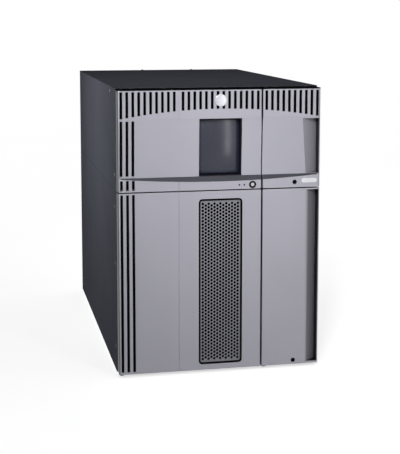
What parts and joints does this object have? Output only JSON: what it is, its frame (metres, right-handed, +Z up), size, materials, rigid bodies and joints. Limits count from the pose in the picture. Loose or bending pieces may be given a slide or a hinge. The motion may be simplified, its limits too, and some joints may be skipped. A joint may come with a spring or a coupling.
{
  "type": "data tape library",
  "caption": "Free-standing data tape library with hinged front doors, slotted header, touch-screen recess, perforated grille, stored cartridges and an inner picking robot.",
  "frame": {"origin": "on the floor, under the middle of the whole object's box", "axes": "+X to the right seen from the front, +Y towards the back, +Z up; the doors face -Y"},
  "size_m": [0.4518, 0.81, 0.6291],
  "materials": {
    "black_rubber": "matt moulded rubber",
    "dark_steel": "fine-textured dark grey powder coat",
    "cover_steel": "satin dark grey powder coat",
    "black_steel": "matt black powder coat",
    "grille_steel": "satin mid grey powder coat",
    "screw_steel": "dark plated screw heads",
    "plain_steel": "bright zinc-plated steel",
    "magazine_plastic": "matt dark moulded plastic",
    "cartridge_plastic": "fine-textured charcoal plastic",
    "rail_aluminium": "clear anodised",
    "silver_plastic": "satin silver paint on moulded plastic",
    "black_plastic": "matt black moulded plastic",
    "grey_trim": "satin charcoal paint",
    "smoked_lens": "polished smoked touch screen",
    "status_light": "tinted light pipe, unlit",
    "button_plastic": "pale satin cap",
    "badge_silver": "blank brushed disc",
    "badge_white": "blank white plate",
    "lock_black": "black lock plug",
    "motor_black": "black can",
    "robot_plastic": "light grey moulded plastic",
    "gripper_plastic": "dark grey moulded plastic"
  },
  "bodies": {
    "chassis": {"rubber_feet": "black_rubber", "base_pan": "dark_steel", "lower_left_panel": "dark_steel", "lower_right_panel": "dark_steel", "upper_left_panel": "dark_steel", "upper_right_panel": "dark_steel", "lower_front_frame": "black_steel", "upper_front_frame": "black_steel", "lower_rear_panel": "dark_steel", "upper_rear_panel": "dark_steel", "joint_frame": "dark_steel", "top_cover": "cover_steel", "hinge_brackets": "black_steel", "panel_screws": "screw_steel", "drive_shelf": "plain_steel", "left_lower_magazines": "magazine_plastic", "right_lower_magazines": "magazine_plastic", "left_upper_magazines": "magazine_plastic", "right_upper_magazines": "magazine_plastic", "stored_cartridges": "cartridge_plastic", "upper_io_magazine": "magazine_plastic", "lower_io_magazine": "magazine_plastic", "front_lift_rail": "rail_aluminium", "rear_lift_rail": "rail_aluminium"},
    "upper_access": {"upper_access_door": "silver_plastic", "upper_access_insert": "black_plastic", "upper_access_sill_trim": "grey_trim", "panel_tray": "black_plastic", "panel_lens": "smoked_lens", "status_lights": "status_light", "power_button_ring": "black_plastic", "round_badge": "badge_silver"},
    "power_button": {"power_button": "button_plastic"},
    "upper_io": {"upper_io_door": "silver_plastic", "upper_io_insert": "black_plastic", "upper_io_sill_trim": "grey_trim", "oval_badge": "badge_white"},
    "upper_lock": {"upper_lock_plug": "lock_black"},
    "lower_access": {"lower_access_door": "silver_plastic", "lower_access_liner": "black_plastic", "grille_frame": "black_plastic", "grille_mesh": "grille_steel"},
    "lower_io": {"lower_io_door": "silver_plastic"},
    "lower_lock": {"lower_lock_plug": "lock_black"},
    "lift": {"lift_beam": "rail_aluminium", "lift_motor": "motor_black"},
    "lift_shaft": {"lift_shaft": "plain_steel"},
    "carriage": {"picker_carriage": "robot_plastic"},
    "turret": {"picker_turret": "robot_plastic", "bar_code_scanner": "motor_black"},
    "gripper": {"gripper": "gripper_plastic"},
    "sled_1": {"drive_sled_1": "plain_steel"},
    "sled_2": {"drive_sled_2": "plain_steel"},
    "sled_3": {"drive_sled_3": "plain_steel"},
    "supply_1": {"power_supply_1": "plain_steel"},
    "supply_2": {"power_supply_2": "plain_steel"},
    "fan_1": {"power_fan_1": "black_plastic"},
    "fan_2": {"power_fan_2": "black_plastic"},
    "blade": {"control_blade": "plain_steel"}
  },
  "joints": [
    {"name": "upper_access_door_swing", "type": "hinge", "parent": "chassis", "child": "upper_access", "pos_m": [-0.2175, -0.397, 0.5143], "axis": [0, 0, -1], "range_deg": [0, 110]},
    {"name": "upper_io_door_swing", "type": "hinge", "parent": "chassis", "child": "upper_io", "pos_m": [0.09925, -0.397, 0.5143], "axis": [0, 0, -1], "range_deg": [0, 90]},
    {"name": "lower_access_door_swing", "type": "hinge", "parent": "chassis", "child": "lower_access", "pos_m": [-0.2175, -0.397, 0.2054], "axis": [0, 0, -1], "range_deg": [0, 110]},
    {"name": "lower_io_door_swing", "type": "hinge", "parent": "chassis", "child": "lower_io", "pos_m": [0.09925, -0.397, 0.2054], "axis": [0, 0, -1], "range_deg": [0, 90]},
    {"name": "power_button_press", "type": "slide", "parent": "upper_access", "child": "power_button", "axis": [0, 1, 0], "range_m": [0, 0.0015], "stiffness_N_per_m": 400},
    {"name": "upper_lock_turn", "type": "hinge", "parent": "upper_io", "child": "upper_lock", "pos_m": [0.166, -0.403, 0.418], "axis": [0, 1, 0], "range_deg": [0, 90]},
    {"name": "lower_lock_turn", "type": "hinge", "parent": "lower_io", "child": "lower_lock", "pos_m": [0.166, -0.403, 0.0164], "axis": [0, 1, 0], "range_deg": [0, 90]},
    {"name": "robot_lift", "type": "slide", "parent": "chassis", "child": "lift", "axis": [0, 0, 1], "range_m": [0, 0.5]},
    {"name": "lift_shaft_turn", "type": "hinge", "parent": "lift", "child": "lift_shaft", "pos_m": [0.074, 0, 0.03], "axis": [0, 1, 0], "range_deg": [0, 1592.05]},
    {"name": "picker_travel", "type": "slide", "parent": "lift", "child": "carriage", "axis": [0, 1, 0], "range_m": [0, 0.23]},
    {"name": "picker_swivel", "type": "hinge", "parent": "carriage", "child": "turret", "pos_m": [0, -0.2495, 0.0459], "axis": [0, 0, 1], "range_deg": [-90, 90]},
    {"name": "gripper_reach", "type": "slide", "parent": "turret", "child": "gripper", "axis": [0, 1, 0], "range_m": [0, 0.022]},
    {"name": "drive_sled_1_pull", "type": "slide", "parent": "chassis", "child": "sled_1", "axis": [0, 1, 0], "range_m": [0, 0.28]},
    {"name": "drive_sled_2_pull", "type": "slide", "parent": "chassis", "child": "sled_2", "axis": [0, 1, 0], "range_m": [0, 0.28]},
    {"name": "drive_sled_3_pull", "type": "slide", "parent": "chassis", "child": "sled_3", "axis": [0, 1, 0], "range_m": [0, 0.28]},
    {"name": "power_supply_1_pull", "type": "slide", "parent": "chassis", "child": "supply_1", "axis": [0, 1, 0], "range_m": [0, 0.21]},
    {"name": "power_fan_1_spin", "type": "hinge", "parent": "supply_1", "child": "fan_1", "pos_m": [0.1215, 0.3898, 0.43785], "axis": [0, 1, 0], "continuous": true},
    {"name": "power_supply_2_pull", "type": "slide", "parent": "chassis", "child": "supply_2", "axis": [0, 1, 0], "range_m": [0, 0.21]},
    {"name": "power_fan_2_spin", "type": "hinge", "parent": "supply_2", "child": "fan_2", "pos_m": [0.1215, 0.3898, 0.0378], "axis": [0, 1, 0], "continuous": true},
    {"name": "control_blade_pull", "type": "slide", "parent": "chassis", "child": "blade", "axis": [0, 1, 0], "range_m": [0, 0.17]}
  ],
  "couplings": [
    {"joint": "lift_shaft_turn", "follows": "robot_lift", "rad_per_m": 55.556}
  ]
}
